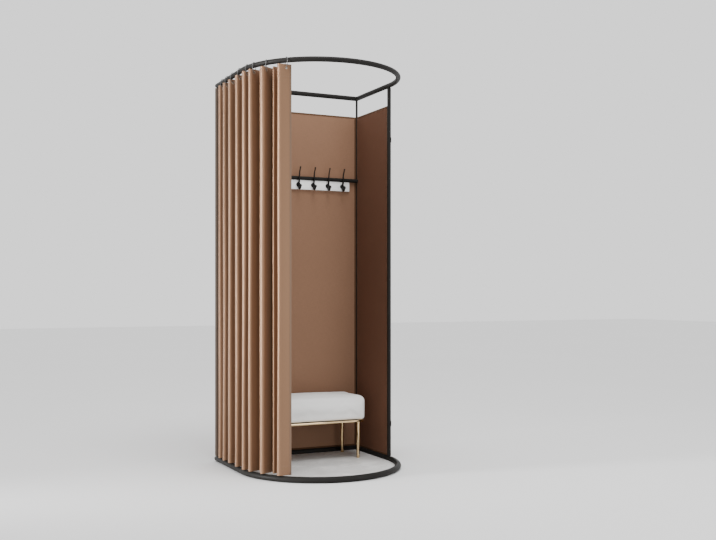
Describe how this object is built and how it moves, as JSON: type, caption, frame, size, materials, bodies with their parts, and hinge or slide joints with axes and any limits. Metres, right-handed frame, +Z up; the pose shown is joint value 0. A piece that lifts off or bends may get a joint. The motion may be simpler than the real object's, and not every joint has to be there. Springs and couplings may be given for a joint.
{
  "type": "portable fitting room",
  "caption": "Free-standing fitting room: D-shaped tube frame, pleated curtain on rings round a curved front, flat panels behind and at one side, hook rail, upholstered bench and floor board.",
  "frame": {"origin": "on the floor, at the middle of the object's overall outline in plan", "axes": "+Z up; the rear panel faces +Y, the round open front faces -Y; the curtain is parked on the -X side and the side panel is on +X"},
  "size_m": [0.8532, 0.8324, 2.0041],
  "materials": {
    "black_paint": "satin",
    "spigot_steel": "zinc plated",
    "panel_brown": "matt canvas",
    "curtain_brown": "woven with a soft sheen",
    "ring_chrome": "polished",
    "floor_grey": "matt",
    "board_white": "satin",
    "hook_black": "semi-gloss",
    "leg_brass": "polished",
    "seat_board_black": "painted",
    "cushion_white": "matt upholstery"
  },
  "bodies": {
    "frame": {"base_tube_rear": "black_paint", "base_tube_left": "black_paint", "base_tube_right": "black_paint", "base_arc_left": "black_paint", "base_arc_right": "black_paint", "base_joiner_left": "spigot_steel", "base_joiner_front": "spigot_steel", "base_joiner_right": "spigot_steel", "rail_tube_rear": "black_paint", "rail_tube_left": "black_paint", "rail_tube_right": "black_paint", "rail_arc_left": "black_paint", "rail_arc_right": "black_paint", "rail_joiner_left": "spigot_steel", "rail_joiner_front": "spigot_steel", "rail_joiner_right": "spigot_steel", "post_rear_left": "black_paint", "post_rear_right": "black_paint", "post_front_right": "black_paint", "panel_rear": "panel_brown", "panel_side": "panel_brown", "panel_clip_left_low": "black_paint", "panel_clip_left_high": "black_paint", "panel_clip_corner_low": "black_paint", "panel_clip_corner_high": "black_paint", "panel_clip_front_low": "black_paint", "panel_clip_front_high": "black_paint", "floor_board": "floor_grey", "hook_bar": "black_paint", "hook_board": "board_white", "hook_1": "hook_black", "hook_2": "hook_black", "hook_3": "hook_black", "hook_4": "hook_black", "curtain_ring_1": "ring_chrome", "curtain_ring_2": "ring_chrome", "curtain_ring_3": "ring_chrome", "curtain_ring_4": "ring_chrome", "curtain_pleat_1": "curtain_brown", "curtain_pleat_2": "curtain_brown", "curtain_pleat_3": "curtain_brown", "curtain_pleat_4": "curtain_brown", "bench_cushion": "cushion_white", "bench_board": "seat_board_black", "bench_frame": "leg_brass", "bench_leg_front_left": "leg_brass", "bench_leg_front_right": "leg_brass", "bench_leg_rear_left": "leg_brass", "bench_leg_rear_right": "leg_brass"},
    "runner_1": {"curtain_ring_5": "ring_chrome", "curtain_pleat_5": "curtain_brown"},
    "runner_2": {"curtain_ring_6": "ring_chrome", "curtain_pleat_6": "curtain_brown"},
    "runner_3": {"curtain_ring_7": "ring_chrome", "curtain_pleat_7": "curtain_brown"},
    "runner_4": {"curtain_ring_8": "ring_chrome", "curtain_pleat_8": "curtain_brown"}
  },
  "joints": [
    {"name": "curtain_draw_1", "type": "hinge", "parent": "frame", "child": "runner_1", "pos_m": [0.0041, 0.00625, 1.975], "axis": [0, 0, 1], "range_deg": [0, 32]},
    {"name": "curtain_draw_2", "type": "hinge", "parent": "runner_1", "child": "runner_2", "pos_m": [0.0041, 0.00625, 1.975], "axis": [0, 0, 1], "range_deg": [0, 32]},
    {"name": "curtain_draw_3", "type": "hinge", "parent": "runner_2", "child": "runner_3", "pos_m": [0.0041, 0.00625, 1.975], "axis": [0, 0, 1], "range_deg": [0, 32]},
    {"name": "curtain_draw_4", "type": "hinge", "parent": "runner_3", "child": "runner_4", "pos_m": [0.0041, 0.00625, 1.975], "axis": [0, 0, 1], "range_deg": [0, 32]}
  ],
  "couplings": [
    {"joint": "curtain_draw_2", "follows": "curtain_draw_1", "ratio": 1},
    {"joint": "curtain_draw_3", "follows": "curtain_draw_1", "ratio": 1},
    {"joint": "curtain_draw_4", "follows": "curtain_draw_1", "ratio": 1}
  ]
}
